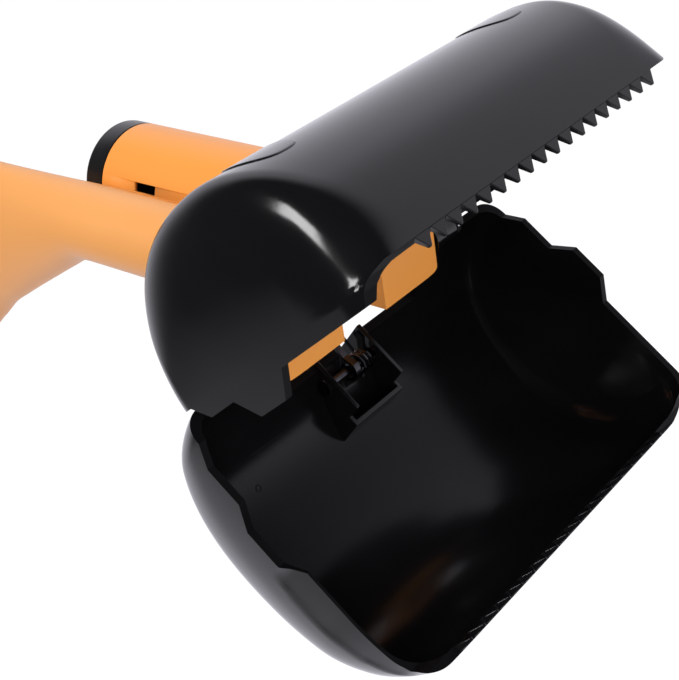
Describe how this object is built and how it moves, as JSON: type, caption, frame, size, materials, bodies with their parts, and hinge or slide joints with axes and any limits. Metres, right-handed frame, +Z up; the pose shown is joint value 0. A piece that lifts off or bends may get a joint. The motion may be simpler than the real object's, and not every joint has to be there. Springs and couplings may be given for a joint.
{
  "type": "pooper scooper",
  "caption": "Hand-held jaw scooper for pet waste: two toothed, spring-opened jaws closed by a trigger on a round handle, with a bag dispenser tube clamped beside it.",
  "frame": {"origin": "on the ground plane under the middle of the whole tool's box, with the lowest point at zero height", "axes": "+Y along the handle from the jaws to the grip, +X along the jaw hinge towards the bag dispenser, +Z up from the lower jaw to the upper jaw"},
  "size_m": [0.1464, 0.43, 0.1506],
  "materials": {
    "orange_plastic": "satin moulded plastic",
    "black_plastic": "glossy moulded plastic",
    "blackened_steel": "blackened steel",
    "steel": "plain steel",
    "grip_rubber": "ribbed matte rubber"
  },
  "bodies": {
    "frame": {"handle": "orange_plastic", "head_yoke": "orange_plastic", "hinge_pin_left": "steel", "hinge_pin_right": "steel", "socket_screw_left": "steel", "socket_screw_right": "steel", "rod_guide_bush": "black_plastic", "grip_sleeve": "grip_rubber", "handle_end_cap": "black_plastic", "trigger_pin": "steel", "return_spring": "steel", "dispenser_tube": "orange_plastic", "dispenser_plug": "black_plastic", "dispenser_clamp": "orange_plastic", "clamp_screw": "steel"},
    "lower_jaw": {"lower_jaw": "black_plastic", "lower_jaw_link_pin": "blackened_steel", "lower_jaw_spring": "blackened_steel"},
    "upper_jaw": {"upper_jaw": "black_plastic", "upper_jaw_link_pin": "blackened_steel", "upper_jaw_spring": "blackened_steel"},
    "rod": {"push_rod": "steel", "crosshead": "black_plastic", "lower_link_pin": "blackened_steel", "upper_link_pin": "blackened_steel", "rod_clevis": "black_plastic", "clevis_pin": "steel"},
    "lower_link": {"lower_link": "blackened_steel"},
    "upper_link": {"upper_link": "blackened_steel"},
    "trigger": {"trigger": "black_plastic"},
    "dispenser_cap": {"dispenser_cap": "black_plastic"}
  },
  "joints": [
    {"name": "lower_jaw_hinge", "type": "hinge", "parent": "frame", "child": "lower_jaw", "pos_m": [0, -0.1393, 0.07531], "axis": [1, 0, 0], "range_deg": [-37.5, 0]},
    {"name": "upper_jaw_hinge", "type": "hinge", "parent": "frame", "child": "upper_jaw", "pos_m": [0, -0.1393, 0.07531], "axis": [-1, 0, 0], "range_deg": [-37.5, 0]},
    {"name": "rod_slide", "type": "slide", "parent": "frame", "child": "rod", "axis": [0, 1, 0], "range_m": [-0.01659, 0], "stiffness_N_per_m": 800, "springref_m": 0.01, "deforming": ["return_spring"]},
    {"name": "lower_link_pivot", "type": "hinge", "parent": "rod", "child": "lower_link", "pos_m": [0, -0.1133, 0.06931], "axis": [1, 0, 0], "range_deg": [-4.57, 0]},
    {"name": "upper_link_pivot", "type": "hinge", "parent": "rod", "child": "upper_link", "pos_m": [0, -0.1133, 0.08131], "axis": [-1, 0, 0], "range_deg": [-4.57, 0]},
    {"name": "trigger_pivot", "type": "hinge", "parent": "frame", "child": "trigger", "pos_m": [0, 0.0647, 0.02531], "axis": [1, 0, 0], "range_deg": [0, 18.35]},
    {"name": "dispenser_cap_lift", "type": "slide", "parent": "frame", "child": "dispenser_cap", "axis": [0, 1, 0], "range_m": [0, 0.02]}
  ],
  "couplings": [
    {"joint": "upper_jaw_hinge", "follows": "lower_jaw_hinge", "ratio": 1},
    {"joint": "rod_slide", "follows": "lower_jaw_hinge", "m_per_rad": 0.02534},
    {"joint": "lower_link_pivot", "follows": "lower_jaw_hinge", "ratio": 0.12181},
    {"joint": "upper_link_pivot", "follows": "lower_jaw_hinge", "ratio": 0.12181},
    {"joint": "trigger_pivot", "follows": "lower_jaw_hinge", "ratio": -0.48935}
  ]
}
